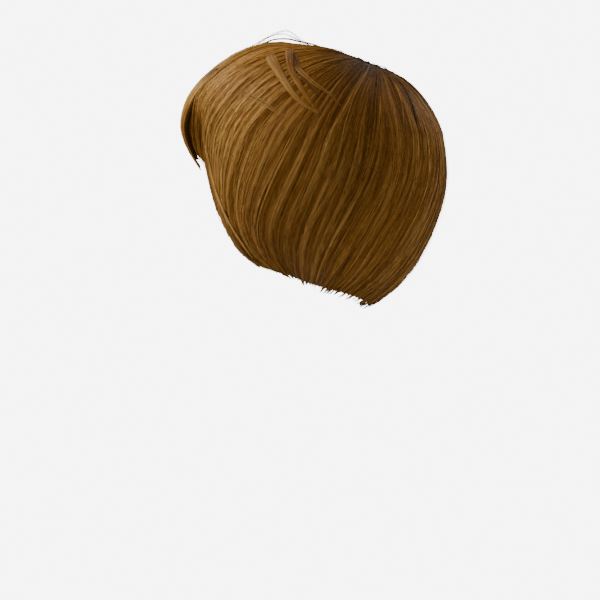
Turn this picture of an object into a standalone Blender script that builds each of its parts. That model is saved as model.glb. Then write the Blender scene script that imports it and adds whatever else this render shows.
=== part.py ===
"""Short bob wig: locks of hair lofted round a wig cap, swept out from a whorl behind the crown.

Metres, +Z up, the face towards -Y and the wearer's left towards +X. The origin is the seat of the
crown, the highest point inside the cap. A place on the wig is a turn and a drop, both in degrees:
the turn goes from the face (0) by the left ear (90) to the nape (180), and the drop goes from the
top of the head (0) by its widest level (90) to the neck.
"""

import math
import random

import bmesh
import bpy
from mathutils import Vector

# Head that the wig fits, metres
HEAD_HALF_WIDTH = 0.076
HEAD_HALF_DEPTH = 0.096
CROWN_RISE = 0.075
NAPE_FALL = 0.145

# Cap: its wall, and the drop of its edge at the hairline, over the ear and at the nape
CAP_WALL = 0.0016
CAP_EDGE_FRONT = 72.0
CAP_EDGE_EAR = 97.0
CAP_EDGE_NAPE = 121.0
CAP_SECTORS = 40
CAP_RINGS = 11

# Clearances between meshed pieces
SEAM_GAP = 0.0004
SEAT_CLEARANCE = 0.0013
OUTER_LOCK_SEAT_CLEARANCE = 0.0006
NAPE_SEAT_CLEARANCE = 0.0007
SIDE_STEP = 0.05

# Hair: how far it stands off the head, how thick it is at its ends, and how deep its locks are
HAIR_LIFT = 0.060
END_THICKNESS = 0.006
LOCK_RELIEF = 0.0035
LOCK_POINT = 0.032
LENGTH_SPREAD = 0.016
END_CURL = 0.005
END_CURL_DROP = 20.0
WHORL_TURN = 200.0
WHORL_DROP = 38.0
WHORL_SHARE = 0.045
WHORL_INSET = 0.004
WHORL_SIDES = 28
WHORL_RINGS = (0.35, 0.7, 1.0)
WHORL_SINK = 0.007
WHORL_SINK_TURN_REACH = 22.4
WHORL_SINK_DROP_REACH = 14.0
LEAVE_CAP_FRONT = 62.0
LEAVE_CAP_BACK = 95.0
HAIR_ROWS = 10
RELIEF_STARTS = 0.22
CREASE_ANGLE = 40.0
HAIR_SEED = 5

# Shaded hollow between the outer lock of the fringe and the hair of the left temple
HOLLOW_TURN = 57.0
HOLLOW_DROP = 87.0
HOLLOW_DEPTH = 0.013
HOLLOW_TURN_REACH = 11.0
HOLLOW_DROP_REACH = 12.0

# Outer lock of the fringe: where it starts and ends, its width and its two thicknesses
OUTER_LOCK_TOP_TURN = 52.0
OUTER_LOCK_TOP_DROP = 50.0
OUTER_LOCK_END_TURN = 40.0
OUTER_LOCK_END_DROP = 101.0
OUTER_LOCK_WIDTH = 0.026
OUTER_LOCK_POINT_SHARE = 0.3
OUTER_LOCK_THICKNESS = 0.008
OUTER_LOCK_TIP_THICKNESS = 0.0022
OUTER_LOCK_COVER_TURN = 13.0
OUTER_LOCK_COVER_DROP = 34.0
OUTER_LOCK_HEIGHTS = (0.2, 0.8, 1.0, 0.8, 0.2)
OUTER_LOCK_ROWS = 14

# Nape hair: its two sides, its root and its point
NAPE_LEFT_TURN = 150.0
NAPE_RIGHT_TURN = 236.0
NAPE_POINT_TURN = 206.0
NAPE_ROOT_DROP = 104.0
NAPE_SIDE_DROP = 140.0
NAPE_POINT_DROP = 155.0
NAPE_THICKNESS = 0.014
NAPE_END_THICKNESS = 0.003
NAPE_LEAST_THICKNESS = 0.0015
NAPE_GATHER = 0.45
NAPE_COVER_DROP = 152.0
NAPE_CURL_DROP = 147.0
NAPE_CLEARANCE = 0.0025
NAPE_LOCKS = 8

# How far the hair stands off the head, as shares of HAIR_LIFT, every LIFT_STEP of drop
LIFT_STEP = 15.0
LIFT_TURN_STEP = 45.0
LIFT_AROUND = 8
LIFT_COLUMNS = ("front", "front_side", "side", "back_side", "back")
LIFT_ROWS = (
    (0.25, 0.25, 0.25, 0.25, 0.25),
    (0.33, 0.37, 0.28, 0.25, 0.25),
    (0.42, 0.45, 0.33, 0.30, 0.28),
    (0.50, 0.52, 0.40, 0.40, 0.37),
    (0.57, 0.58, 0.47, 0.50, 0.48),
    (0.60, 0.62, 0.52, 0.62, 0.62),
    (0.55, 0.58, 0.55, 0.77, 0.75),
    (0.24, 0.29, 0.57, 0.90, 0.87),
    (0.20, 0.27, 0.57, 0.90, 0.90),
    (0.20, 0.29, 0.51, 0.87, 0.93),
    (0.20, 0.28, 0.40, 0.88, 1.02),
    (0.20, 0.25, 0.33, 0.85, 1.08),
)

# The way the hair lies: for each line from the whorl to the ends, its turn and drop at four stations
FLOW_STATIONS = (0.0, 0.28, 0.55, 0.80, 1.0)
FLOW_COLUMNS = ("line", "high", "side", "low", "end")
FLOW_ROWS = (
    ("fringe", (0, 8), (0, 45), (4, 80), (4, 104)),
    ("fringe_left", (75, 14), (62, 45), (50, 80), (42, 105)),
    ("temple_left", (112, 28), (76, 62), (62, 95), (61, 129)),
    ("edge_left", (128, 37), (88, 72), (68, 110), (75, 146)),
    ("cheek_left", (136, 50), (102, 80), (80, 114), (88, 147)),
    ("side_left", (144, 62), (124, 91), (103, 120), (107, 144)),
    ("behind_left", (157, 70), (144, 97), (130, 122), (126, 143.5)),
    ("back_left", (174, 71), (172, 98), (157, 124), (144, 144.5)),
    ("back", (190, 71), (194, 98), (181, 125), (162, 146)),
    ("back_right", (206, 72), (213, 98), (204, 125), (183, 148.5)),
    ("behind_right", (224, 69), (234, 96), (230, 123), (208, 150)),
    ("side_right", (243, 59), (257, 88), (260, 118), (242, 149)),
    ("edge_right", (265, 40), (284, 72), (293, 109), (284, 146)),
    ("fringe_right", (308, 17), (314, 47), (312, 82), (316, 105)),
)

# Masses of hair: the flow lines where each starts and ends, and its locks
MASS_COLUMNS = ("name", "first_line", "last_line", "locks")
MASS_ROWS = (
    ("fringe", -1.35, 1.45, 10),
    ("left_temple_hair", 1.45, 3.3, 5),
    ("left_side_hair", 3.3, 6.0, 7),
    ("left_back_hair", 6.0, 8.2, 6),
    ("right_back_hair", 8.2, 10.4, 6),
    ("right_side_hair", 10.4, 11.9, 6),
    ("right_temple_hair", 11.9, 12.65, 3),
)

# Across one lock: the place of each column, its height and how far it comes short of the point
LOCK_COLUMNS = ("place", "height", "short")
LOCK_ROWS = (
    (0.00, 0.00, 1.0),
    (0.22, 1.00, 0.3),
    (0.55, 0.80, 0.0),
    (0.82, 0.35, 0.5),
)

GOLDEN_BROWN = (0.26, 0.13, 0.035)
DARK_ROOTS = (0.06, 0.03, 0.012)
BLACK_NET = (0.02, 0.016, 0.014)


def clear_scene():
    for item in list(bpy.data.objects):
        bpy.data.objects.remove(item)


def collection():
    group = bpy.data.collections.new("bob_wig")
    bpy.context.scene.collection.children.link(group)
    return group


def material(name, colour, roughness):
    finish = bpy.data.materials.new(name)
    finish.use_nodes = True
    shader = finish.node_tree.nodes["Principled BSDF"]
    shader.inputs["Base Color"].default_value = (*colour, 1.0)
    shader.inputs["Roughness"].default_value = roughness
    return finish


def between(a, b, share):
    return a + (b - a) * share


def eased(share):
    share = min(max(share, 0.0), 1.0)
    return share * share * (3 - 2 * share)


def curve_through(before, start, end, after, share):
    """A point of the smooth curve that passes start and end, from the points round them."""
    return 0.5 * (
        start * 2
        + (end - before) * share
        + (before * 2 - start * 5 + end * 4 - after) * share**2
        + (after - before + (start - end) * 3) * share**3
    )


def bump(turn, drop, centre_turn, centre_drop, turn_reach, drop_reach):
    """A round swelling of height 1 about one place of the head."""
    aside = (turn - centre_turn + 180) % 360 - 180
    return math.exp(-((aside / turn_reach) ** 2) - ((drop - centre_drop) / drop_reach) ** 2)


def lift_share(row, column):
    """One entry of the lift table, which is the same on both sides of the head."""
    row = min(max(row, 0), len(LIFT_ROWS) - 1)
    column = column % LIFT_AROUND
    return LIFT_ROWS[row][min(column, LIFT_AROUND - column)]


def full_lift(turn, drop):
    """How far the outside of the hair stands off the head, before any hollow."""
    last = len(LIFT_ROWS) - 1
    row = min(drop / LIFT_STEP, last)
    column = (turn % 360) / LIFT_TURN_STEP
    i, j = min(int(row), last - 1), int(column)
    across = [
        curve_through(*(lift_share(i + k, j + m) for m in (-1, 0, 1, 2)), column - j)
        for k in (-1, 0, 1, 2)
    ]
    sink = bump(
        turn, drop, WHORL_TURN, WHORL_DROP, WHORL_SINK_TURN_REACH, WHORL_SINK_DROP_REACH
    )
    return HAIR_LIFT * curve_through(*across, row - i) - WHORL_SINK * sink


def hair_lift(turn, drop):
    """How far the outside of the hair stands off the head, with the hollow beside the fringe."""
    hollow = bump(
        turn, drop, HOLLOW_TURN, HOLLOW_DROP, HOLLOW_TURN_REACH, HOLLOW_DROP_REACH
    )
    return full_lift(turn, drop) - HOLLOW_DEPTH * hollow


def place(turn, drop, off):
    """The point at a turn and drop, off metres outside the head."""
    t, a = math.radians(turn), math.radians(drop)
    reach = (CROWN_RISE if drop <= 90 else NAPE_FALL) + off
    return Vector(
        (
            (HEAD_HALF_WIDTH + off) * math.sin(a) * math.sin(t),
            -(HEAD_HALF_DEPTH + off) * math.sin(a) * math.cos(t),
            reach * math.cos(a) - CROWN_RISE,
        )
    )


def direction(turn, drop):
    t, a = math.radians(turn), math.radians(drop)
    return Vector((math.sin(a) * math.sin(t), -math.sin(a) * math.cos(t), math.cos(a)))


def turn_and_drop(way):
    turn = math.degrees(math.atan2(way.x, -way.y)) % 360
    return turn, math.degrees(math.atan2(math.hypot(way.x, way.y), way.z))


def flow(line, share):
    """The turn and drop at a share of the way along one line of the hair, from whorl to end."""
    i = math.floor(line)
    whorl = direction(WHORL_TURN, WHORL_DROP)
    stops = [whorl]
    for column in range(1, len(FLOW_COLUMNS)):
        rows = [FLOW_ROWS[(i + k) % len(FLOW_ROWS)][column] for k in (-1, 0, 1, 2)]
        stops.append(curve_through(*(direction(*row) for row in rows), line - i).normalized())
    stops = [whorl * 2 - stops[1]] + stops + [stops[-1] * 2 - stops[-2]]
    share = min(max(share, 0.0), 1.0)
    j = 0
    while j < len(FLOW_STATIONS) - 2 and share > FLOW_STATIONS[j + 1]:
        j += 1
    part = (share - FLOW_STATIONS[j]) / (FLOW_STATIONS[j + 1] - FLOW_STATIONS[j])
    return turn_and_drop(curve_through(*stops[j : j + 4], part))


def outer_lock_turn(drop):
    """The turn of the outer lock's middle at a drop."""
    along = (drop - OUTER_LOCK_TOP_DROP) / (OUTER_LOCK_END_DROP - OUTER_LOCK_TOP_DROP)
    return between(OUTER_LOCK_TOP_TURN, OUTER_LOCK_END_TURN, along)


def groove(turn, drop, share, height):
    """How deep a place lies between two locks: none at the roots or under the outer lock."""
    middle_drop = (OUTER_LOCK_TOP_DROP + OUTER_LOCK_END_DROP) / 2
    covered = bump(
        turn, drop, outer_lock_turn(drop), middle_drop, OUTER_LOCK_COVER_TURN, OUTER_LOCK_COVER_DROP
    )
    return LOCK_RELIEF * (1 - height) * eased(share / RELIEF_STARTS) * (1 - covered)


def cap_edge(turn):
    """The drop of the cap's edge at a turn."""
    across = math.cos(math.radians(turn))
    towards = CAP_EDGE_FRONT if across > 0 else CAP_EDGE_NAPE
    return between(CAP_EDGE_EAR, towards, across * across)


def end_curl(drop, end_drop):
    """How far the hair turns inward near its ends."""
    return END_CURL * eased((drop - end_drop) / END_CURL_DROP + 1)


def under_lift(turn, drop, end_drop, outside):
    """How far the underside of a mass stands off the head: on the cap, then up to its thin ends."""
    back = (1 - math.cos(math.radians(turn))) / 2
    leave = between(LEAVE_CAP_FRONT, LEAVE_CAP_BACK, back)
    on_cap = CAP_WALL + SEAT_CLEARANCE
    away = eased((drop - leave) / (end_drop - leave))
    return max(SEAT_CLEARANCE, between(on_cap, outside - END_THICKNESS, away))


def loft(name, group, finish, outside, inside, poles=None):
    """A closed body between two grids of points, with rows from root to end.

    With poles, the points outside and inside where a dome closes, the last column joins the
    first. Without them each side has a wall.
    """
    body = bmesh.new()
    outer = [[body.verts.new(point) for point in row] for row in outside]
    inner = [[body.verts.new(point) for point in row] for row in inside]
    rows, columns = len(outer), len(outer[0])
    steps = columns if poles else columns - 1
    for i in range(rows - 1):
        for j in range(steps):
            k = (j + 1) % columns
            body.faces.new((outer[i][j], outer[i][k], outer[i + 1][k], outer[i + 1][j]))
            body.faces.new((inner[i][k], inner[i][j], inner[i + 1][j], inner[i + 1][k]))
        if not poles:
            body.faces.new((inner[i][0], outer[i][0], outer[i + 1][0], inner[i + 1][0]))
            body.faces.new((outer[i][-1], inner[i][-1], inner[i + 1][-1], outer[i + 1][-1]))
    tops = [body.verts.new(point) for point in poles or ()]
    for j in range(steps):
        k = (j + 1) % columns
        if poles:
            body.faces.new((tops[0], outer[0][k], outer[0][j]))
            body.faces.new((tops[1], inner[0][j], inner[0][k]))
        else:
            body.faces.new((inner[0][j], inner[0][k], outer[0][k], outer[0][j]))
        body.faces.new((outer[-1][j], outer[-1][k], inner[-1][k], inner[-1][j]))
    bmesh.ops.recalc_face_normals(body, faces=body.faces)
    bmesh.ops.triangulate(body, faces=body.faces)
    mesh = bpy.data.meshes.new(name)
    body.to_mesh(mesh)
    body.free()
    mesh.materials.append(finish)
    mesh.shade_smooth()
    mesh.set_sharp_from_angle(angle=math.radians(CREASE_ANGLE))
    item = bpy.data.objects.new(name, mesh)
    group.objects.link(item)
    return item


def make_cap(group, finish):
    """The net cap: a dome over the head, cut to the hairline, over the ears and at the nape."""
    turns = [360 * k / CAP_SECTORS for k in range(CAP_SECTORS)]
    outside, inside = [], []
    for i in range(1, CAP_RINGS + 1):
        share = i / CAP_RINGS
        outside.append([place(turn, cap_edge(turn) * share, CAP_WALL) for turn in turns])
        inside.append([place(turn, cap_edge(turn) * share, 0) for turn in turns])
    poles = (place(0, 0, CAP_WALL), place(0, 0, 0))
    return loft("cap", group, finish, outside, inside, poles)


def lock_columns(locks, lengths):
    """For each column across a mass: its place, its height and its length as shares.

    The first and last columns of all masses are equally long, so that neighbours match.
    """
    seam_length = 1 - LENGTH_SPREAD - LOCK_POINT
    columns = []
    for k in range(locks):
        for place_in, height, short in LOCK_ROWS:
            columns.append(((k + place_in) / locks, height, lengths[k] - LOCK_POINT * short))
    columns[0] = (0.0, 0.0, seam_length)
    columns.append((1.0, 0.0, seam_length))
    return columns


def sideways(line, share, off, towards):
    """The step across the flow that leaves half a seam at the side of a mass."""
    here = place(*flow(line, share), off)
    beside = place(*flow(line + SIDE_STEP * towards, share), off)
    return (beside - here).normalized() * SEAM_GAP / 2


def make_mass(group, finish, chance, name, first, last, locks):
    """One mass of hair from the whorl to the ends, ridged into locks."""
    lengths = [1 - LENGTH_SPREAD * chance.random() for _ in range(locks)]
    columns = lock_columns(locks, lengths)
    outside, inside = [], []
    for i in range(HAIR_ROWS + 1):
        top, under = [], []
        for across, height, length in columns:
            line = between(first, last, across)
            share = between(WHORL_SHARE, length, i / HAIR_ROWS)
            turn, drop = flow(line, share)
            end_drop = flow(line, 1.0)[1]
            relief = groove(turn, drop, share, height)
            outer = hair_lift(turn, drop) - relief - end_curl(drop, end_drop)
            inner = under_lift(turn, drop, end_drop, outer)
            step = Vector((0, 0, 0))
            if across in (0.0, 1.0):
                step = sideways(line, share, outer, 1 if across == 0.0 else -1)
            top.append(place(turn, drop, outer) + step)
            under.append(place(turn, drop, inner) + step)
        outside.append(top)
        inside.append(under)
    return loft(name, group, finish, outside, inside)


def make_whorl(group, finish):
    """The round knot of roots that every mass starts from."""
    lines = [k * len(FLOW_ROWS) / WHORL_SIDES for k in range(WHORL_SIDES)]
    outside, inside = [], []
    for part in WHORL_RINGS:
        spots = [flow(line, (WHORL_SHARE - WHORL_INSET) * part) for line in lines]
        outside.append([place(*s, hair_lift(*s)) for s in spots])
        inside.append([place(*s, CAP_WALL + SEAT_CLEARANCE) for s in spots])
    middle = (WHORL_TURN, WHORL_DROP)
    poles = (
        place(*middle, hair_lift(*middle)),
        place(*middle, CAP_WALL + SEAT_CLEARANCE),
    )
    return loft("crown_whorl", group, finish, outside, inside, poles)


def make_outer_lock(group, finish):
    """The outer lock of the fringe: it lies on the fringe, and its back edge overhangs the hollow."""
    outside, inside = [], []
    for i in range(OUTER_LOCK_ROWS + 1):
        along = i / OUTER_LOCK_ROWS
        drop = between(OUTER_LOCK_TOP_DROP, OUTER_LOCK_END_DROP, along)
        turn = outer_lock_turn(drop)
        width = OUTER_LOCK_WIDTH * between(OUTER_LOCK_POINT_SHARE, 1, math.sin(math.pi * along))
        spread = math.degrees(width / (HEAD_HALF_DEPTH * math.sin(math.radians(drop))))
        thick = between(OUTER_LOCK_THICKNESS, OUTER_LOCK_TIP_THICKNESS, along)
        top, under = [], []
        for k, height in enumerate(OUTER_LOCK_HEIGHTS):
            aside = turn + spread * (k / (len(OUTER_LOCK_HEIGHTS) - 1) - 0.5)
            floor = hair_lift(aside, drop) + OUTER_LOCK_SEAT_CLEARANCE
            outer = max(full_lift(aside, drop), floor + OUTER_LOCK_TIP_THICKNESS)
            inner = max(outer - thick, floor)
            middle = (outer + inner) / 2
            top.append(place(aside, drop, between(middle, outer, height)))
            under.append(place(aside, drop, between(middle, inner, height)))
        outside.append(top)
        inside.append(under)
    return loft("fringe_outer_lock", group, finish, outside, inside)


def make_nape(group, finish, chance):
    """The under layer at the nape, from the cap to a point on the neck."""
    lengths = [1 - LENGTH_SPREAD * chance.random() for _ in range(NAPE_LOCKS)]
    outside, inside = [], []
    for i in range(HAIR_ROWS + 1):
        top, under = [], []
        for across, height, length in lock_columns(NAPE_LOCKS, lengths):
            root_turn = between(NAPE_LEFT_TURN, NAPE_RIGHT_TURN, across)
            middle = 1 - abs(2 * across - 1)
            end_drop = between(NAPE_SIDE_DROP, NAPE_POINT_DROP, eased(middle))
            along = length * i / HAIR_ROWS
            drop = between(NAPE_ROOT_DROP, end_drop, along)
            turn = between(root_turn, NAPE_POINT_TURN, NAPE_GATHER * along)
            cover = hair_lift(turn, drop) - LOCK_RELIEF - end_curl(drop, NAPE_CURL_DROP)
            over = under_lift(turn, drop, NAPE_COVER_DROP, cover) - NAPE_CLEARANCE
            outer = over - LOCK_RELIEF * (1 - height) * eased(along / RELIEF_STARTS)
            thick = between(NAPE_THICKNESS, NAPE_END_THICKNESS, along)
            inner = max(CAP_WALL + NAPE_SEAT_CLEARANCE, outer - thick)
            top.append(place(turn, drop, max(outer, inner + NAPE_LEAST_THICKNESS)))
            under.append(place(turn, drop, inner))
        outside.append(top)
        inside.append(under)
    return loft("nape_hair", group, finish, outside, inside)


def build():
    clear_scene()
    group = collection()
    hair = material("golden_brown_fibre", GOLDEN_BROWN, 0.42)
    roots = material("dark_root_fibre", DARK_ROOTS, 0.55)
    net = material("black_cap_net", BLACK_NET, 0.85)
    chance = random.Random(HAIR_SEED)
    make_cap(group, net)
    make_whorl(group, roots)
    for row in MASS_ROWS:
        make_mass(group, hair, chance, *row)
    make_outer_lock(group, hair)
    make_nape(group, hair, chance)


build()
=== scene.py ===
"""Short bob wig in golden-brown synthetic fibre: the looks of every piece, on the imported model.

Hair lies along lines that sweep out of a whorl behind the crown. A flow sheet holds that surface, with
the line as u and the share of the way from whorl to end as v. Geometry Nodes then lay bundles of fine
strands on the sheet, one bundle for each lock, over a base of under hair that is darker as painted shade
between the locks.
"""

import math

import bpy
import numpy as np
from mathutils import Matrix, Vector


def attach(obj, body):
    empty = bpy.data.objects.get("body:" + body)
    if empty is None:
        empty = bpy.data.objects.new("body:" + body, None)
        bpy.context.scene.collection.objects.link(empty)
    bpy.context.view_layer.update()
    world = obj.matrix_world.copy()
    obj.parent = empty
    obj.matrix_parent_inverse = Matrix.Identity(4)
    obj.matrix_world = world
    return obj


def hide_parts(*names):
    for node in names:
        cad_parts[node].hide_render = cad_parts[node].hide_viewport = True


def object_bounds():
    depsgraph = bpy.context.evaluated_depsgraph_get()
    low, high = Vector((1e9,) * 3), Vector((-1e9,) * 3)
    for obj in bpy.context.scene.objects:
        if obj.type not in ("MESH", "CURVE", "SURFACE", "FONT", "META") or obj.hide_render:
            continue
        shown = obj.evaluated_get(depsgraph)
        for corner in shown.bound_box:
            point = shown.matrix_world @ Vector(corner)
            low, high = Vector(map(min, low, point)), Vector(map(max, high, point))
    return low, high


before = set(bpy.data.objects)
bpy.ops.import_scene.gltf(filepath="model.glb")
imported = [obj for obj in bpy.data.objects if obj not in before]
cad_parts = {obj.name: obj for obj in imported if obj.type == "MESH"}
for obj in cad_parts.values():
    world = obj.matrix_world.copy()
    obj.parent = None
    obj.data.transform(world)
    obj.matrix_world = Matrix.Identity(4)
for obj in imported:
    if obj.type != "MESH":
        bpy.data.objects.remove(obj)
cad_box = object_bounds()

MM = 0.001
PIECE_SEED = 11

# Sizes repeated from the model, metres and degrees
HEAD_HALF_WIDTH = 0.076
HEAD_HALF_DEPTH = 0.096
CROWN_RISE = 0.075
NAPE_FALL = 0.145
CAP_WALL = 0.0016
SEAT_CLEARANCE = 0.0013
HAIR_LIFT = 0.060
END_THICKNESS = 0.006
END_CURL = 0.005
END_CURL_DROP = 20.0
WHORL_TURN = 200.0
WHORL_DROP = 38.0
WHORL_SINK = 0.007
WHORL_SINK_TURN_REACH = 22.4
WHORL_SINK_DROP_REACH = 14.0
LEAVE_CAP_FRONT = 62.0
LEAVE_CAP_BACK = 95.0
HOLLOW_TURN = 57.0
HOLLOW_DROP = 87.0
HOLLOW_DEPTH = 0.013
HOLLOW_TURN_REACH = 11.0
HOLLOW_DROP_REACH = 12.0
OUTER_LOCK_TOP_TURN = 52.0
OUTER_LOCK_TOP_DROP = 50.0
OUTER_LOCK_END_TURN = 40.0
OUTER_LOCK_END_DROP = 101.0
OUTER_LOCK_WIDTH = 0.026
NAPE_LEFT_TURN = 150.0
NAPE_RIGHT_TURN = 236.0
NAPE_POINT_TURN = 206.0
NAPE_ROOT_DROP = 104.0
NAPE_SIDE_DROP = 140.0
NAPE_POINT_DROP = 155.0
NAPE_GATHER = 0.45
NAPE_COVER_DROP = 152.0
NAPE_CURL_DROP = 147.0
NAPE_UNDER_COVER = 0.0035
NAPE_SINK = 0.0025
OUTER_LOCK_BULGE = 0.0012

LIFT_STEP = 15.0
LIFT_TURN_STEP = 45.0
LIFT_ROWS = (
    (0.25, 0.25, 0.25, 0.25, 0.25),
    (0.33, 0.37, 0.28, 0.25, 0.25),
    (0.42, 0.45, 0.33, 0.30, 0.28),
    (0.50, 0.52, 0.40, 0.40, 0.37),
    (0.57, 0.58, 0.47, 0.50, 0.48),
    (0.60, 0.62, 0.52, 0.62, 0.62),
    (0.55, 0.58, 0.55, 0.77, 0.75),
    (0.24, 0.29, 0.57, 0.90, 0.87),
    (0.20, 0.27, 0.57, 0.90, 0.90),
    (0.20, 0.29, 0.51, 0.87, 0.93),
    (0.20, 0.28, 0.40, 0.88, 1.02),
    (0.20, 0.25, 0.33, 0.85, 1.08),
)
FLOW_STATIONS = (0.0, 0.28, 0.55, 0.80, 1.0)
FLOW_ROWS = (
    ("fringe", (0, 8), (0, 45), (4, 80), (4, 104)),
    ("fringe_left", (75, 14), (62, 45), (50, 80), (42, 105)),
    ("temple_left", (112, 28), (76, 62), (62, 95), (61, 129)),
    ("edge_left", (128, 37), (88, 72), (68, 110), (75, 146)),
    ("cheek_left", (136, 50), (102, 80), (80, 114), (88, 147)),
    ("side_left", (144, 62), (124, 91), (103, 120), (107, 144)),
    ("behind_left", (157, 70), (144, 97), (130, 122), (126, 143.5)),
    ("back_left", (174, 71), (172, 98), (157, 124), (144, 144.5)),
    ("back", (190, 71), (194, 98), (181, 125), (162, 146)),
    ("back_right", (206, 72), (213, 98), (204, 125), (183, 148.5)),
    ("behind_right", (224, 69), (234, 96), (230, 123), (208, 150)),
    ("side_right", (243, 59), (257, 88), (260, 118), (242, 149)),
    ("edge_right", (265, 40), (284, 72), (293, 109), (284, 146)),
    ("fringe_right", (308, 17), (314, 47), (312, 82), (316, 105)),
)
FLOW_LINES = len(FLOW_ROWS)

# Masses of hair: node, first and last flow line, and how many locks wide it is
MASS_ROWS = (
    ("fringe", -1.35, 1.45, 22),
    ("left_temple_hair", 1.45, 3.3, 14),
    ("left_side_hair", 3.3, 6.0, 22),
    ("left_back_hair", 6.0, 8.2, 18),
    ("right_back_hair", 8.2, 10.4, 18),
    ("right_side_hair", 10.4, 11.9, 14),
    ("right_temple_hair", 11.9, 12.65, 7),
)

# Layers of locks, from the deepest to the loosest. Start and end are shares of the way from whorl to
# end, many is locks for each lock of the mass, room is a lock's width in its own room, height over
# the sheet and crown of the section are in millimetres, slant is in rooms
LAYER_COLUMNS = (
    "start", "end", "many", "room", "height", "crown", "tone", "spread", "strands", "size", "slant", "point",
)
LAYER_ROWS = (
    # The deepest layer's lower tone is painted shade under the other locks
    ((0.00, 0.05), (0.97, 1.02), 0.8, 2.0, -1.5, 0.5, -0.12, 0.05, 34, 1.50, 0.3, 7.0),
    ((0.00, 0.12), (0.93, 1.01), 0.7, 1.3, -0.7, 1.5, 0.00, 0.09, 36, 1.00, 0.7, 4.5),
    ((0.06, 0.42), (0.66, 1.01), 0.8, 0.7, 0.1, 1.3, 0.04, 0.13, 16, 0.90, 1.3, 2.6),
    ((0.05, 0.60), (0.45, 1.00), 1.4, 0.2, 0.8, 0.3, 0.00, 0.22, 4, 0.80, 1.6, 1.6),
    ((0.10, 0.70), (0.35, 1.00), 0.9, 0.6, 1.4, 1.2, 0.06, 0.15, 2, 0.45, 3.0, 1.2),
)

# Locks that lie across the others or stand off them: node, half width, crown, tone, how many strands,
# strand size and point, then the path as turn, drop and height over the hair in millimetres
ACCENT_COLUMNS = ("node", "half_width", "crown", "tone", "strands", "size", "point", "path")
ACCENT_ROWS = (
    # The two tufts that fall across the left side
    ("left_side_hair", 5.0, 1.2, 0.58, 70, 0.9, 1.8,
     ((88, 26, -3.0), (97, 40, 1.0), (108, 52, 2.2), (116, 64, 2.6), (124, 76, 2.0), (134, 84, 0.2))),
    ("left_side_hair", 4.5, 1.2, 0.50, 60, 0.9, 1.8,
     ((104, 18, -3.0), (110, 32, 1.2), (115, 44, 2.4), (119, 57, 2.8), (125, 69, 2.2), (133, 84, 0.2))),
    ("left_side_hair", 3.0, 0.8, 0.62, 12, 0.6, 1.2,
     ((118, 46, 0.5), (123, 56, 2.0), (130, 65, 2.2), (138, 73, 1.6), (143, 80, 0.8))),
    ("left_side_hair", 4.0, 0.8, 0.66, 10, 0.5, 1.2,
     ((92, 68, 0.6), (98, 72, 1.8), (106, 76, 2.2), (112, 80, 1.8), (119, 84, 0.8))),
    ("left_side_hair", 4.0, 0.8, 0.30, 26, 0.9, 1.6,
     ((114, 30, -1.0), (119, 44, 0.9), (124, 57, 1.2), (130, 68, 1.0), (137, 78, 0.0))),
    # The light lock along the front edge and the deeper one below it
    ("left_temple_hair", 2.6, 1.0, 0.74, 34, 0.8, 3.0,
     ((66, 86, -0.5), (70, 97, 0.8), (72, 108, 1.0), (78, 117, 1.0), (84, 125, 0.8), (89, 135, 0.0))),
    ("left_temple_hair", 5.0, 1.2, 0.46, 50, 0.9, 4.0,
     ((74, 108, -1.5), (75, 118, -0.8), (76, 126, -0.8), (80, 134, -0.8), (90, 140, -1.5))),
    # Loose hairs that stand over the top
    ("fringe", 1.6, 0.6, 0.42, 16, 0.8, 1.0,
     ((41, 27, 0.0), (42, 17, 3.8), (40, 9, 5.0), (345, 6, 5.0), (285, 9, 3.6), (240, 17, 0.0))),
    ("fringe", 3.0, 1.5, 0.55, 7, 0.4, 0.8,
     ((38, 28, 0.0), (42, 17, 8.0), (46, 10, 12.5), (30, 6, 10.0), (330, 6, 6.0), (290, 12, 1.0))),
    ("fringe", 3.5, 1.5, 0.60, 6, 0.4, 0.8,
     ((50, 32, 0.5), (52, 22, 5.0), (60, 14, 9.0), (80, 10, 8.0), (140, 12, 1.0))),
    # A very dark lock beside the middle of the back: painted shade of the groove there
    ("left_back_hair", 1.8, 0.2, 0.02, 20, 1.1, 1.2,
     ((190, 50, -0.5), (187, 62, 1.5), (184, 74, 1.8), (182, 84, 1.6), (182, 98, -0.5))),
)

# Where the fibre is lighter or darker, partly its own colour and partly painted light and shade: turn, drop,
# how far it reaches each way, and the change of tone
TONE_AND_PAINTED_LIGHT_SHADE_ROWS = (
    # Lighter at the brow: partly the fibre's own colour, partly painted light
    (40.0, 62.0, 55.0, 34.0, 0.20),
    (95.0, 95.0, 40.0, 30.0, 0.08),
    (200.0, 40.0, 75.0, 30.0, -0.22),
    (150.0, 75.0, 30.0, 30.0, -0.12),
    # Darker in the hollow beside the fringe: painted shade
    (57.0, 88.0, 8.0, 12.0, -0.50),
)

STRAND_POINTS = 13
STRAND_WIDTH = 0.00072
STRAND_SIDES = 3
STRAY = 0.0010
END_TUCK = 0.0042
TUCK_FROM = 0.90
ROOT_RISE = 0.15
ACCENT_ALONG = 0.22
FLOW_EDGE = 0.001
FLOW_SHARES = (0.006, 1.045)

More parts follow.
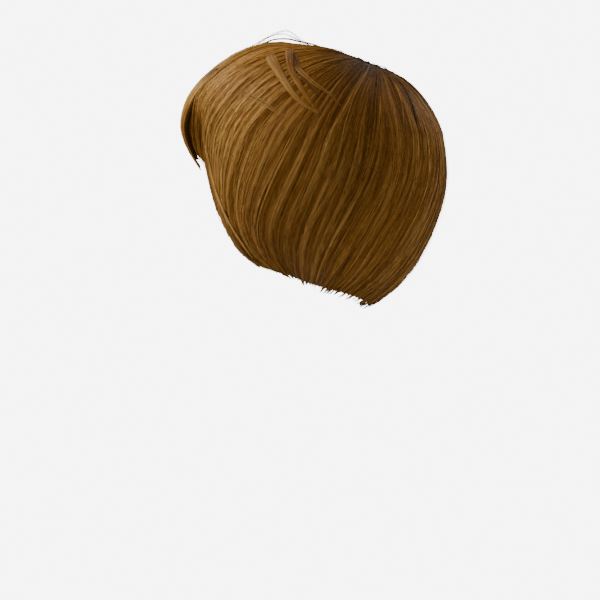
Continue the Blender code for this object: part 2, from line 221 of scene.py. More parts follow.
# How each strand differs from its lock: its place across it, height, ends, bend, tone and thickness
STRAND_VARIETY = {
    "side": (-1.0, 1.0),
    "rise": (-0.5, 0.5),
    "start": (-0.02, 0.05),
    "end": (-0.03, 0.01),
    "wander": (-1.0, 1.0),
    "phase": (0.0, 6.283),
    "tone": (-0.11, 0.11),
    "size": (0.65, 1.25),
}
OWN_WAVES = 5.0
LOCK_TAPER = 0.80
CROWN_EARLY = 1.15
CROWN_AT_ENDS = 0.2
SCATTER_OF_CROWN = 0.5
SCATTER_LEAST = 0.0004
TIP_SLIM = 0.6
TIP_SLIM_POWER = 6.0
ROOT_THICKNESS = 0.2
SHEET_LINE_STEPS = 20
SHEET_ROWS = 56
BASE_SINK = 0.0024
BASE_END = 0.995
BASE_COLUMNS_PER_LINE = 60
BASE_ROWS = 30
BASE_LEAST_THICKNESS = 0.0012
BASE_OFF_CAP = 0.0005
BASE_PAINTED_SHADE_TONE = 0.30
RIDGE_PAINTED_SHADE = 0.16
UNDERSIDE_PAINTED_SHADE = 0.10
OUTER_LOCK_BASE_SINKS = (0.0016, 0.0050)
OUTER_LOCK_BASE_TAPERS = (0.75, 0.80)
OUTER_LOCK_BASE_PAINTED_SHADE_TONE = 0.36
NAPE_LOCKS = 34
NAPE_BASE_SINKS = (0.0012, 0.0028)
NAPE_BASE_PAINTED_SHADE_TONE = 0.28
GUIDE_LIFT = 0.030

# Camera, from the photograph: one pixel is one millimetre
VIEW_TURN = 42.0
VIEW_DISTANCE = 2.5
VIEW_CENTRE = (0.006, -0.238)
SENSOR = 36.0
PICTURE_WIDTH = 0.600
FLOOR_DROP = 0.9
FLOOR_SIZE = 6.0


def eased(share):
    share = np.clip(share, 0.0, 1.0)
    return share * share * (3 - 2 * share)


def between(a, b, share):
    return a + (b - a) * share


def curve_through(before, start, end, after, share):
    """A point of the smooth curve that passes start and end, from the points round them."""
    return 0.5 * (
        start * 2
        + (end - before) * share
        + (before * 2 - start * 5 + end * 4 - after) * share**2
        + (after - before + (start - end) * 3) * share**3
    )


def bump(turn, drop, centre_turn, centre_drop, turn_reach, drop_reach):
    """A round swelling of height 1 about one place of the head."""
    aside = (turn - centre_turn + 180) % 360 - 180
    return np.exp(-((aside / turn_reach) ** 2) - ((drop - centre_drop) / drop_reach) ** 2)


def full_lift(turn, drop):
    """How far the outside of the hair stands off the head, before any hollow."""
    table = np.array(LIFT_ROWS)
    ring = np.concatenate([table, table[:, 3:0:-1]], axis=1)
    last = len(table) - 1
    row = np.clip(drop / LIFT_STEP, 0, last)
    column = (turn % 360) / LIFT_TURN_STEP
    i = np.minimum(row.astype(int), last - 1)
    j = column.astype(int)
    around = ring.shape[1]
    across = []
    for k in (-1, 0, 1, 2):
        r = np.clip(i + k, 0, last)
        four = [ring[r, (j + m) % around] for m in (-1, 0, 1, 2)]
        across.append(curve_through(*four, column - j))
    sink = bump(turn, drop, WHORL_TURN, WHORL_DROP, WHORL_SINK_TURN_REACH, WHORL_SINK_DROP_REACH)
    return HAIR_LIFT * curve_through(*across, row - i) - WHORL_SINK * sink


def hair_lift(turn, drop):
    """The same, with the shaded hollow beside the fringe."""
    hollow = bump(turn, drop, HOLLOW_TURN, HOLLOW_DROP, HOLLOW_TURN_REACH, HOLLOW_DROP_REACH)
    return full_lift(turn, drop) - HOLLOW_DEPTH * hollow


def place(turn, drop, off):
    """Points at turns and drops, off metres outside the head."""
    t, a = np.radians(turn), np.radians(drop)
    reach = np.where(drop <= 90, CROWN_RISE, NAPE_FALL) + off
    x = (HEAD_HALF_WIDTH + off) * np.sin(a) * np.sin(t)
    y = -(HEAD_HALF_DEPTH + off) * np.sin(a) * np.cos(t)
    return np.stack([x, y, reach * np.cos(a) - CROWN_RISE], -1)


def direction(turn, drop):
    t, a = np.radians(turn), np.radians(drop)
    return np.stack([np.sin(a) * np.sin(t), -np.sin(a) * np.cos(t), np.cos(a)], -1)


def flow(line, share):
    """Turns and drops at shares of the way along lines of the hair, from whorl to end."""
    line, share = np.broadcast_arrays(np.asarray(line, float), np.asarray(share, float))
    i = np.floor(line).astype(int)
    whorl = np.broadcast_to(direction(WHORL_TURN, WHORL_DROP), line.shape + (3,))
    stops = [whorl]
    for column in range(1, len(FLOW_ROWS[0])):
        ways = np.array([direction(*row[column]) for row in FLOW_ROWS])
        four = [ways[(i + k) % FLOW_LINES] for k in (-1, 0, 1, 2)]
        stop = curve_through(*four, (line - i)[..., None])
        stops.append(stop / np.linalg.norm(stop, axis=-1, keepdims=True))
    stops = np.stack([whorl * 2 - stops[1]] + stops + [stops[-1] * 2 - stops[-2]])
    stations = np.array(FLOW_STATIONS)
    j = np.clip(np.searchsorted(stations, share, side="left") - 1, 0, len(stations) - 2)
    part = (share - stations[j]) / (stations[j + 1] - stations[j])
    part = np.clip(part, -0.5, 1.4)
    pick = [np.take_along_axis(stops, (j + k)[None, ..., None], 0)[0] for k in range(4)]
    way = curve_through(*pick, part[..., None])
    turn = np.degrees(np.arctan2(way[..., 0], -way[..., 1])) % 360
    return turn, np.degrees(np.arctan2(np.hypot(way[..., 0], way[..., 1]), way[..., 2]))


def end_curl(drop, end_drop):
    return END_CURL * eased((drop - end_drop) / END_CURL_DROP + 1)


def under_lift(turn, drop, end_drop, outside):
    """How far the underside of a mass stands off the head."""
    back = (1 - np.cos(np.radians(turn))) / 2
    leave = between(LEAVE_CAP_FRONT, LEAVE_CAP_BACK, back)
    away = eased((drop - leave) / (end_drop - leave))
    under = between(CAP_WALL + SEAT_CLEARANCE, outside - END_THICKNESS, away)
    return np.maximum(SEAT_CLEARANCE, under)

def srgb(code):
    """An sRGB hex colour as linear RGBA."""
    parts = [int(code[k : k + 2], 16) / 255 for k in (1, 3, 5)]
    return [p / 12.92 if p <= 0.04045 else ((p + 0.055) / 1.055) ** 2.4 for p in parts] + [1.0]


def add_node(tree, kind, links=(), **settings):
    """Add a node with its settings, its unlinked input values (by name or place) and its links."""
    node = tree.nodes.new(kind)
    values = settings.pop("values", {})
    for name, value in settings.items():
        setattr(node, name, value)
    for key, value in values.items():
        node.inputs[key].default_value = value
    for source, key in links:
        tree.links.new(source, node.inputs[key])
    return node


def grid_faces(rows, columns):
    i, j = np.meshgrid(np.arange(rows - 1), np.arange(columns - 1), indexing="ij")
    a = (i * columns + j).ravel()
    return np.stack([a, a + 1, a + columns + 1, a + columns], 1)


def mesh_from(name, points, faces):
    mesh = bpy.data.meshes.new(name)
    mesh.from_pydata(points.reshape(-1, 3).tolist(), [], [f.tolist() for f in faces])
    mesh.update()
    return mesh


def show(name, mesh):
    item = bpy.data.objects.new(name, mesh)
    bpy.context.scene.collection.objects.link(item)
    return item


def points_of(mesh):
    position = np.empty(len(mesh.vertices) * 3, np.float32)
    mesh.vertices.foreach_get("co", position)
    return position.reshape(-1, 3)


def store_point(mesh, name, values):
    layer = mesh.attributes.new(name, "FLOAT", "POINT")
    layer.data.foreach_set("value", np.asarray(values, np.float32))


def sheet_object(name, patches):
    """A guide surface with its flow map, from patches of points, u and v. It is only sampled."""
    points, faces, spots, start = [], [], [], 0
    for grid, u, v in patches:
        rows, columns = grid.shape[:2]
        points.append(grid.reshape(-1, 3))
        faces.append(grid_faces(rows, columns) + start)
        spots.append(np.stack([u.ravel(), v.ravel()], 1))
        start += rows * columns
    mesh = mesh_from(name, np.concatenate(points), np.concatenate(faces))
    corner = np.empty(len(mesh.loops), int)
    mesh.loops.foreach_get("vertex_index", corner)
    flow_map = mesh.uv_layers.new(name="flow")
    flow_map.data.foreach_set("uv", np.concatenate(spots)[corner].ravel())
    keep_outward_normals(mesh)
    return show(name, mesh)


def keep_outward_normals(mesh):
    normal = np.empty(len(mesh.vertices) * 3, np.float32)
    mesh.vertex_normals.foreach_get("vector", normal)
    normal = normal.reshape(-1, 3)
    middle = np.array([0.0, 0.0, -CROWN_RISE - 0.03])
    outwards = np.sign(np.einsum("ij,ij->i", normal, points_of(mesh) - middle))
    layer = mesh.attributes.new("outward", "FLOAT_VECTOR", "POINT")
    layer.data.foreach_set("vector", (normal * outwards[:, None]).ravel())


# Flow sheets: all the long hair, the outer lock of the fringe, the nape, and the accents


def main_sheet():
    lines = np.arange(-2 * SHEET_LINE_STEPS, (FLOW_LINES + 2) * SHEET_LINE_STEPS + 1) / SHEET_LINE_STEPS
    shares = np.linspace(0.004, 1.06, SHEET_ROWS)
    line, share = np.meshgrid(lines, shares)
    turn, drop = flow(line, share)
    end_drop = flow(line, np.ones_like(share))[1]
    off = hair_lift(turn, drop) - end_curl(drop, end_drop)
    return sheet_object("hair_flow", [(place(turn, drop, off), line_u(line), share)])


def line_u(line):
    return (line + 2) / (FLOW_LINES + 4)


def outer_lock_places(along, across, sink, taper):
    """The outer lock of the fringe, sink metres under its outside."""
    drop = between(OUTER_LOCK_TOP_DROP, OUTER_LOCK_END_DROP, along)
    turn = between(OUTER_LOCK_TOP_TURN, OUTER_LOCK_END_TURN, along)
    spread = np.degrees(OUTER_LOCK_WIDTH / (HEAD_HALF_DEPTH * np.sin(np.radians(drop))))
    turn = turn + spread * (across - 0.5) * (1 - taper * along**2)
    bulge = OUTER_LOCK_BULGE * np.sin(np.pi * np.clip(along, 0, 1))
    return place(turn, drop, full_lift(turn, drop) + bulge - sink)


def nape_places(along, across, sink):
    """The under layer on the neck, sink metres under its outside."""
    root_turn = between(NAPE_LEFT_TURN, NAPE_RIGHT_TURN, across)
    middle = 1 - np.abs(2 * across - 1)
    end_drop = between(NAPE_SIDE_DROP, NAPE_POINT_DROP, eased(middle))
    drop = between(NAPE_ROOT_DROP, end_drop, along)
    turn = between(root_turn, NAPE_POINT_TURN, NAPE_GATHER * along)
    cover = hair_lift(turn, drop) - NAPE_UNDER_COVER - end_curl(drop, NAPE_CURL_DROP)
    off = under_lift(turn, drop, NAPE_COVER_DROP, cover) - NAPE_SINK
    return place(turn, drop, off - sink)


def accent_patch(path, half_width, number, count):
    """A ribbon along a path, in its own column of the flow map."""
    turn, drop, height = np.array(path, float).T
    stops = place(turn, drop, hair_lift(turn, drop) + height * MM)
    stops = np.concatenate([[stops[0] * 2 - stops[1]], stops, [stops[-1] * 2 - stops[-2]]])
    share = np.linspace(0, 1, 25)
    reach = share * (len(turn) - 1)
    i = np.minimum(reach.astype(int), len(turn) - 2)
    part = (reach - i)[:, None]
    line = curve_through(stops[i], stops[i + 1], stops[i + 2], stops[i + 3], part)
    ahead = np.gradient(line, axis=0)
    out = line - np.array([0.0, 0.0, -CROWN_RISE])
    aside = np.cross(out, ahead)
    aside /= np.linalg.norm(aside, axis=1, keepdims=True)
    across = np.linspace(-1, 1, 5)
    grid = line[:, None] + aside[:, None] * across[None, :, None] * half_width * MM
    u = (number + 0.5 + 0.46 * across) / count
    u, v = np.meshgrid(u, share)
    return grid, u, v


# Materials


def fibre_material(name, deep, middle, light, roughness):
    """Heat-set modacrylic wig fibre: fine drawn filaments with a soft golden gloss.

    The tone attribute varies from lock to lock and strand to strand, and shade from place to place
    on the head: soft streaks, a lighter brow that is partly painted light, and painted shade in the hollow
    beside the fringe. Along runs from root to tip, where the roots are dark. Each filament has a grain.
    """
    finish = bpy.data.materials.new(name)
    finish.use_nodes = True
    tree = finish.node_tree
    shader = tree.nodes["Principled BSDF"]
    tone = add_node(tree, "ShaderNodeAttribute", attribute_name="tone")
    shade = add_node(tree, "ShaderNodeAttribute", attribute_name="shade")
    along = add_node(tree, "ShaderNodeAttribute", attribute_name="along")
    grain_map = add_node(tree, "ShaderNodeUVMap", uv_map="grain")
    grain = add_node(
        tree, "ShaderNodeTexNoise", [(grain_map.outputs["UV"], "Vector")], noise_dimensions="2D",
        values={"Scale": 1.0, "Detail": 2.0, "Roughness": 0.55},
    )
    grain_share = add_node(
        tree, "ShaderNodeMapRange", [(grain.outputs["Fac"], "Value")],
        values={"From Min": 0.3, "From Max": 0.7, "To Min": -0.08, "To Max": 0.08},
    )
    lit = add_node(
        tree, "ShaderNodeMath", [(tone.outputs["Fac"], 0), (grain_share.outputs["Result"], 1)],
        operation="ADD",
    )
    total = add_node(
        tree, "ShaderNodeMath", [(lit.outputs[0], 0), (shade.outputs["Fac"], 1)], operation="ADD"
    )
    ramp = add_node(tree, "ShaderNodeValToRGB", [(total.outputs[0], "Fac")])
    ramp.color_ramp.elements[0].position = 0.02
    ramp.color_ramp.elements[0].color = srgb(deep)
    ramp.color_ramp.elements[1].position = 0.95
    ramp.color_ramp.elements[1].color = srgb(light)
    ramp.color_ramp.elements.new(0.5).color = srgb(middle)
    root_share = add_node(
        tree, "ShaderNodeMapRange", [(along.outputs["Fac"], "Value")], interpolation_type="SMOOTHSTEP",
        values={"From Min": 0.0, "From Max": 0.30, "To Min": 0.15, "To Max": 1.0},
    )
    dark = add_node(
        tree, "ShaderNodeMix", [(root_share.outputs["Result"], "Factor"), (ramp.outputs["Color"], 7)],
        data_type="RGBA", values={6: srgb(deep)},
    )
    tree.links.new(dark.outputs[2], shader.inputs["Base Color"])
    rough = add_node(
        tree, "ShaderNodeMapRange", [(grain.outputs["Fac"], "Value")],
        values={"From Min": 0.3, "From Max": 0.7, "To Min": roughness - 0.06, "To Max": roughness + 0.08},
    )
    tree.links.new(rough.outputs["Result"], shader.inputs["Roughness"])
    shader.inputs["IOR"].default_value = 1.52
    shader.inputs["Specular IOR Level"].default_value = 0.30
    shader.inputs["Specular Tint"].default_value = srgb("#e2a85c")
    return finish


def root_material():
    """The same fibre tied in a knot: very dark, with hairs about 0.3 mm across drawn as a fine grain."""
    finish = bpy.data.materials.new("modacrylic_fibre_knotted_roots")
    finish.use_nodes = True
    tree = finish.node_tree
    shader = tree.nodes["Principled BSDF"]
    where = add_node(tree, "ShaderNodeTexCoord")
    grain = add_node(
        tree, "ShaderNodeTexNoise", [(where.outputs["Object"], "Vector")],
        values={"Scale": 1 / 0.0012, "Detail": 3.0},
    )
    ramp = add_node(tree, "ShaderNodeValToRGB", [(grain.outputs["Fac"], "Fac")])
    ramp.color_ramp.elements[0].position = 0.35
    ramp.color_ramp.elements[0].color = srgb("#160c05")
    ramp.color_ramp.elements[1].position = 0.7
    ramp.color_ramp.elements[1].color = srgb("#4a2c12")
    tree.links.new(ramp.outputs["Color"], shader.inputs["Base Color"])
    bumps = add_node(
        tree, "ShaderNodeBump", [(grain.outputs["Fac"], "Height")],
        values={"Strength": 0.7, "Distance": 0.0006},
    )
    tree.links.new(bumps.outputs["Normal"], shader.inputs["Normal"])
    shader.inputs["Roughness"].default_value = 0.6
    return finish


def net_material():
    """Black elastic net: nylon threads knitted about 1.5 mm apart, matte, with raised threads."""
    finish = bpy.data.materials.new("knitted_nylon_net")
    finish.use_nodes = True
    tree = finish.node_tree
    shader = tree.nodes["Principled BSDF"]
    where = add_node(tree, "ShaderNodeTexCoord")
    waves = []
    for axis in ("X", "Y", "Z"):
        waves.append(
            add_node(
                tree, "ShaderNodeTexWave", [(where.outputs["Object"], "Vector")],
                wave_type="BANDS", bands_direction=axis, values={"Scale": 1 / (0.0015 * 20)},
            )
        )
    first = add_node(
        tree, "ShaderNodeMath", [(waves[0].outputs["Fac"], 0), (waves[1].outputs["Fac"], 1)],
        operation="MAXIMUM",
    )
    threads = add_node(
        tree, "ShaderNodeMath", [(first.outputs[0], 0), (waves[2].outputs["Fac"], 1)],
        operation="MAXIMUM",
    )
    ramp = add_node(tree, "ShaderNodeValToRGB", [(threads.outputs[0], "Fac")])
    ramp.color_ramp.elements[0].position = 0.62
    ramp.color_ramp.elements[0].color = srgb("#0c0a09")
    ramp.color_ramp.elements[1].position = 0.95
    ramp.color_ramp.elements[1].color = srgb("#2e2722")
    tree.links.new(ramp.outputs["Color"], shader.inputs["Base Color"])
    bumps = add_node(
        tree, "ShaderNodeBump", [(threads.outputs[0], "Height")],
        values={"Strength": 0.6, "Distance": 0.0004},
    )
    tree.links.new(bumps.outputs["Normal"], shader.inputs["Normal"])
    shader.inputs["Roughness"].default_value = 0.82
    shader.inputs["Sheen Weight"].default_value = 0.15
    return finish


# Strands: one tree for every bundle

LOCK_FIELDS = (
    "centre", "half_width", "start", "end", "height", "crown", "tone", "sway", "waves", "wave_phase",
    "point", "strands", "lock_size", "slant",
)


def strand_tree(finish):
    """Lay bundles of strands on a flow sheet, one bundle for each point of the geometry."""
    tree = bpy.data.node_groups.new("lock_strands", "GeometryNodeTree")
    face = tree.interface
    for name, kind in (
        ("Geometry", "Geometry"),
        ("Flow Sheet", "Object"),
        ("Strand Points", "Int"),
        ("Strand Width", "Float"),
        ("Stray", "Float"),
        ("End Tuck", "Float"),
        ("Root Rise", "Float"),
        ("Seed", "Int"),
    ):
        face.new_socket(name, in_out="INPUT", socket_type="NodeSocket" + kind)
    face.new_socket("Geometry", in_out="OUTPUT", socket_type="NodeSocketGeometry")
    given = add_node(tree, "NodeGroupInput").outputs

    def named(name, kind="FLOAT"):
        node = add_node(tree, "GeometryNodeInputNamedAttribute", data_type=kind, values={"Name": name})
        return node.outputs[0]

    def sum_of(operation, *terms):
        links = [(t, k) for k, t in enumerate(terms) if not isinstance(t, (int, float))]
        values = {k: t for k, t in enumerate(terms) if isinstance(t, (int, float))}
        return add_node(tree, "ShaderNodeMath", links, operation=operation, values=values).outputs[0]

    def chance(name):
        low, high = STRAND_VARIETY[name]
        seed = sum_of("ADD", given["Seed"], list(STRAND_VARIETY).index(name) + 1)
        node = add_node(
            tree, "FunctionNodeRandomValue", [(seed, "Seed")], data_type="FLOAT", values={2: low, 3: high}
        )
        return node.outputs[1]

    def store(geometry, name, value):
        node = add_node(
            tree, "GeometryNodeStoreNamedAttribute", [(geometry, "Geometry"), (value, "Value")],
            data_type="FLOAT", domain="POINT", values={"Name": name},
        )
        return node.outputs[0]

    spots = add_node(tree, "GeometryNodeMeshToPoints", [(given["Geometry"], "Mesh")]).outputs[0]
    many = add_node(
        tree, "GeometryNodeDuplicateElements", [(spots, 0), (named("strands"), "Amount")], domain="POINT"
    ).outputs[0]
    many = store(many, "strand", add_node(tree, "GeometryNodeInputIndex").outputs[0])
    for name, value in (
        ("side", chance("side")),
        ("rise", chance("rise")),
        ("strand_start", sum_of("ADD", named("start"), chance("start"))),
        ("strand_end", sum_of("ADD", named("end"), chance("end"))),
        ("wander", chance("wander")),
        ("phase", chance("phase")),
        ("tone", sum_of("ADD", named("tone"), chance("tone"))),
        ("size", sum_of("MULTIPLY", named("lock_size"), chance("size"))),
    ):
        many = store(many, name, value)
    line = add_node(tree, "GeometryNodeCurvePrimitiveLine", values={"End": (1.0, 0.0, 0.0)}).outputs[0]
    line = add_node(
        tree, "GeometryNodeResampleCurve", [(line, "Curve"), (given["Strand Points"], "Count")]
    ).outputs[0]
    placed = add_node(tree, "GeometryNodeInstanceOnPoints", [(many, "Points"), (line, "Instance")])
    strands = add_node(tree, "GeometryNodeRealizeInstances", [(placed.outputs[0], 0)]).outputs[0]
    along = add_node(tree, "GeometryNodeSplineParameter").outputs["Factor"]
    strands = store(strands, "reach", along)
    # A lock is narrow at its root, full in its middle and drawn together at its end
    whole = sum_of("SUBTRACT", named("strand_end"), named("strand_start"))
    v = sum_of("MULTIPLY_ADD", whole, along, named("strand_start"))
    v = sum_of("MINIMUM", sum_of("MAXIMUM", v, FLOW_SHARES[0]), FLOW_SHARES[1])
    drawn = sum_of("POWER", along, named("point"))
    taper = sum_of("SUBTRACT", 1.0, sum_of("MULTIPLY", LOCK_TAPER, drawn))
    full = sum_of("MULTIPLY", named("half_width"), taper)
    swing = sum_of("SINE", sum_of("MULTIPLY_ADD", along, named("waves"), named("wave_phase")))
    own = sum_of("SINE", sum_of("MULTIPLY_ADD", along, OWN_WAVES, named("phase")))
    loose = sum_of("MULTIPLY", given["Stray"], sum_of("MULTIPLY", own, named("wander")))
    cross = sum_of("MULTIPLY", named("slant"), sum_of("SUBTRACT", along, 0.5))
    u = sum_of("MULTIPLY_ADD", named("side"), full, named("centre"))
    u = sum_of("ADD", sum_of("MULTIPLY_ADD", named("sway"), swing, u), sum_of("ADD", loose, cross))
    u = sum_of("MINIMUM", sum_of("MAXIMUM", u, FLOW_EDGE), 1 - FLOW_EDGE)
    # Its section is crowned, highest along its middle, and its end is tucked under
    flat = sum_of("MULTIPLY", named("side"), named("side"))
    dome = sum_of("MULTIPLY", named("crown"), sum_of("SUBTRACT", 1.0, flat))
    early = sum_of("MINIMUM", sum_of("MULTIPLY", along, CROWN_EARLY), 1.0)
    swell = sum_of("SINE", sum_of("MULTIPLY", early, math.pi))
    dome = sum_of("MULTIPLY", dome, sum_of("MULTIPLY_ADD", swell, 1 - CROWN_AT_ENDS, CROWN_AT_ENDS))
    spread = sum_of("MULTIPLY_ADD", named("crown"), SCATTER_OF_CROWN, SCATTER_LEAST)
    scatter = sum_of("MULTIPLY", named("rise"), spread)
    height = sum_of("ADD", sum_of("ADD", named("height"), dome), scatter)
    height = sum_of("MULTIPLY", height, sum_of("MINIMUM", sum_of("DIVIDE", v, given["Root Rise"]), 1.0))
    past = sum_of("DIVIDE", sum_of("MAXIMUM", sum_of("SUBTRACT", v, TUCK_FROM), 0.0), 1 - TUCK_FROM)
    height = sum_of("SUBTRACT", height, sum_of("MULTIPLY", given["End Tuck"], sum_of("MULTIPLY", past, past)))
    spot = add_node(tree, "ShaderNodeCombineXYZ", [(u, 0), (v, 1)]).outputs[0]
    sheet = add_node(
        tree, "GeometryNodeObjectInfo", [(given["Flow Sheet"], "Object")], transform_space="RELATIVE"
    ).outputs["Geometry"]

    def sampled(value):
        node = add_node(
            tree, "GeometryNodeSampleUVSurface",
            [(sheet, "Mesh"), (value, "Value"), (named("flow", "FLOAT_VECTOR"), 2), (spot, "Sample UV")],
            data_type="FLOAT_VECTOR",
        )
        return node.outputs[0]

    position = sampled(add_node(tree, "GeometryNodeInputPosition").outputs[0])
    outward = sampled(named("outward", "FLOAT_VECTOR"))
    lift = add_node(tree, "ShaderNodeVectorMath", [(outward, 0), (height, "Scale")], operation="SCALE")
    target = add_node(tree, "ShaderNodeVectorMath", [(position, 0), (lift.outputs[0], 1)], operation="ADD")
    strands = add_node(
        tree, "GeometryNodeSetPosition", [(strands, "Geometry"), (target.outputs[0], "Position")]
    ).outputs[0]
    slim = sum_of("SUBTRACT", 1.0, sum_of("MULTIPLY", TIP_SLIM, sum_of("POWER", along, TIP_SLIM_POWER)))
    grown = sum_of("DIVIDE", v, given["Root Rise"])
    root_slim = sum_of("MULTIPLY_ADD", grown, 1 - ROOT_THICKNESS, ROOT_THICKNESS)
    root_slim = sum_of("MINIMUM", root_slim, 1.0)
    radius = sum_of("MULTIPLY", given["Strand Width"], 0.5)
    radius = sum_of("MULTIPLY", radius, sum_of("MULTIPLY", slim, named("size")))
    radius = sum_of("MULTIPLY", radius, root_slim)
    strands = store(strands, "along", v)
    strands = store(strands, "across", u)
    section = add_node(
        tree, "GeometryNodeCurvePrimitiveCircle", values={"Resolution": STRAND_SIDES, "Radius": 1.0}
    ).outputs[0]
    section = store(section, "around", add_node(tree, "GeometryNodeInputIndex").outputs[0])
    tubes = add_node(
        tree, "GeometryNodeCurveToMesh",
        [(strands, "Curve"), (section, "Profile Curve"), (radius, "Scale")], values={"Fill Caps": True},
    ).outputs[0]
    tubes = add_node(tree, "GeometryNodeSetShadeSmooth", [(tubes, "Geometry")]).outputs[0]
    tubes = add_node(tree, "GeometryNodeRealizeInstances", [(tubes, 0)]).outputs[0]
    tubes = add_node(
        tree, "GeometryNodeSetMaterial", [(tubes, "Geometry")], values={"Material": finish}
    ).outputs[0]
    add_node(tree, "NodeGroupOutput", [(tubes, 0)])
    return tree


def lay_strands(name, tree, sheet, locks, seed, stray=STRAY, tuck=0.0, root_rise=0.001):
    """Run the tree on a table of locks and return the strands as a plain mesh object."""
    guide = bpy.data.meshes.new(name + "_locks")
    guide.from_pydata([(0.0, 0.0, 0.0)] * len(locks), [], [])
    for k, field in enumerate(LOCK_FIELDS):
        store_point(guide, field, [row[k] for row in locks])
    holder = show(name + "_holder", guide)
    modifier = holder.modifiers.new("strands", "NODES")
    modifier.node_group = tree
    inputs = {s.name: s.identifier for s in tree.interface.items_tree if s.in_out == "INPUT"}
    for key, value in (
        ("Flow Sheet", sheet), ("Strand Points", STRAND_POINTS), ("Strand Width", STRAND_WIDTH),
        ("Stray", stray), ("End Tuck", tuck), ("Root Rise", root_rise), ("Seed", seed),
    ):
        modifier[inputs[key]] = value
    bpy.context.view_layer.update()
    graph = bpy.context.evaluated_depsgraph_get()
    mesh = bpy.data.meshes.new_from_object(holder.evaluated_get(graph), depsgraph=graph)
    mesh.name = name
    holder.modifiers.remove(modifier)
    bpy.data.objects.remove(holder)
    finish_strand_maps(mesh)
    return show(name, mesh)


def read_attribute(mesh, name):
    values = np.empty(len(mesh.attributes[name].data), np.float32)
    mesh.attributes[name].data.foreach_get("value", values)
    return values


def finish_strand_maps(mesh):
    """Give each strand its own cell of the map, a grain map that runs along it, and its shade: soft streaks
    plus painted light and shade by place.
    """
    strand = np.rint(read_attribute(mesh, "strand")).astype(int)
    around = np.rint(read_attribute(mesh, "around")).astype(int)
    reach = read_attribute(mesh, "reach")
    corner = np.empty(len(mesh.loops), int)
    mesh.loops.foreach_get("vertex_index", corner)
    starts = np.empty(len(mesh.polygons), int)
    mesh.polygons.foreach_get("loop_start", starts)
    totals = np.empty(len(mesh.polygons), int)
    mesh.polygons.foreach_get("loop_total", totals)
    face_of = np.repeat(np.arange(len(starts)), totals)
    side = around[corner].astype(float)
    cap = np.repeat(totals == STRAND_SIDES, totals)
    turned = np.maximum.reduceat(side, starts) - np.minimum.reduceat(side, starts)
    wraps = (turned > 1.5)[face_of] & ~cap
    side[wraps & (side < 0.5)] = STRAND_SIDES
    count = int(strand.max()) + 1
    across = int(math.ceil(math.sqrt(count * 16)))
    up = int(math.ceil(count / across))
    column, row = strand[corner] % across, strand[corner] // across
    u = 0.08 + 0.84 * side / STRAND_SIDES
    v = 0.05 + 0.90 * reach[corner]
    v = np.where(cap & (side > 1.5), np.where(reach[corner] > 0.5, v + 0.035, v - 0.035), v)
    bake = np.stack([(column + u) / across, (row + v) / up], 1)
    bake_map = mesh.uv_layers.new(name="OFBake")
    bake_map.data.foreach_set("uv", bake.astype(np.float32).ravel())
    grain = np.stack([strand[corner] * 3.7 + side * 0.4, reach[corner] * 6.0], 1)
    grain_map = mesh.uv_layers.new(name="grain")
    grain_map.data.foreach_set("uv", grain.astype(np.float32).ravel())
    streak = streaks(read_attribute(mesh, "across") * (FLOW_LINES + 4) - 2, read_attribute(mesh, "along"))
    # Shade: painted light and shade by place, plus soft streaks of the fibre
    store_point(mesh, "shade", tone_and_painted_light_shade_at(points_of(mesh)) + streak)


def tone_and_painted_light_shade_at(position):
    """Lighter at the brow, partly the fibre's own colour and partly painted light; darker round the whorl;
    painted shade in the hollow beside the fringe.
    """
    x, y, z = position.T
    side = np.hypot(x / (HEAD_HALF_WIDTH + GUIDE_LIFT), y / (HEAD_HALF_DEPTH + GUIDE_LIFT))
    turn = np.degrees(np.arctan2(x / (HEAD_HALF_WIDTH + GUIDE_LIFT), -y / (HEAD_HALF_DEPTH + GUIDE_LIFT)))
    tall = (z + CROWN_RISE) / np.where(z > -CROWN_RISE, CROWN_RISE + GUIDE_LIFT, NAPE_FALL + GUIDE_LIFT)
    drop = np.degrees(np.arctan2(side, tall))
    return sum(change * bump(turn, drop, *spot) for *spot, change in TONE_AND_PAINTED_LIGHT_SHADE_ROWS)


def streaks(line, share):
    """Soft lighter and darker bands along the hair, 4 to 16 mm wide."""
    return sum(
        size * np.sin(line * pitch + share * run + 1.7 * np.sin(share * bend + line * 2) + start)
        for size, pitch, run, bend, start in (
            (0.050, 20.0, 3.0, 5.0, 0.4), (0.045, 37.0, -4.0, 7.0, 2.1), (0.035, 71.0, 5.0, 9.0, 4.0),
        )
    )


# Base of under hair below the strands, in a darker fibre: painted shade between the locks


def base_hair(name, finish, first, last, chance):
    """A closed, finely ridged body under one mass."""
    columns = int((last - first) * BASE_COLUMNS_PER_LINE) + 1
    across = np.linspace(0, 1, columns)
    line = between(first, last, across)
    share, line = np.meshgrid(np.linspace(0.012, BASE_END, BASE_ROWS), line, indexing="ij")
    turn, drop = flow(line, share)
    end_drop = flow(line, np.ones_like(share))[1]
    ridges = sum(
        size * np.sin(line * pitch + chance.uniform(0, 6.28) + 2.0 * np.sin(share * 3 + line))
        for size, pitch in ((0.40, 31), (0.25, 67), (0.20, 131))
    )
    tuck = END_TUCK * eased((share - TUCK_FROM) / (1 - TUCK_FROM))
    outside = hair_lift(turn, drop) - end_curl(drop, end_drop)
    outer = outside - tuck - BASE_SINK + ridges * MM * eased(share / 0.2)
    inner = np.minimum(under_lift(turn, drop, end_drop, outside), outer - BASE_LEAST_THICKNESS)
    top = place(turn, drop, outer)
    under = place(turn, drop, np.maximum(inner, CAP_WALL + BASE_OFF_CAP))
    # Painted shade: the base is darker than the strands, lighter on its ridges' crests and darker in their
    # troughs
    return closed_grid(name, finish, top, under, share, line, BASE_PAINTED_SHADE_TONE + RIDGE_PAINTED_SHADE * ridges)


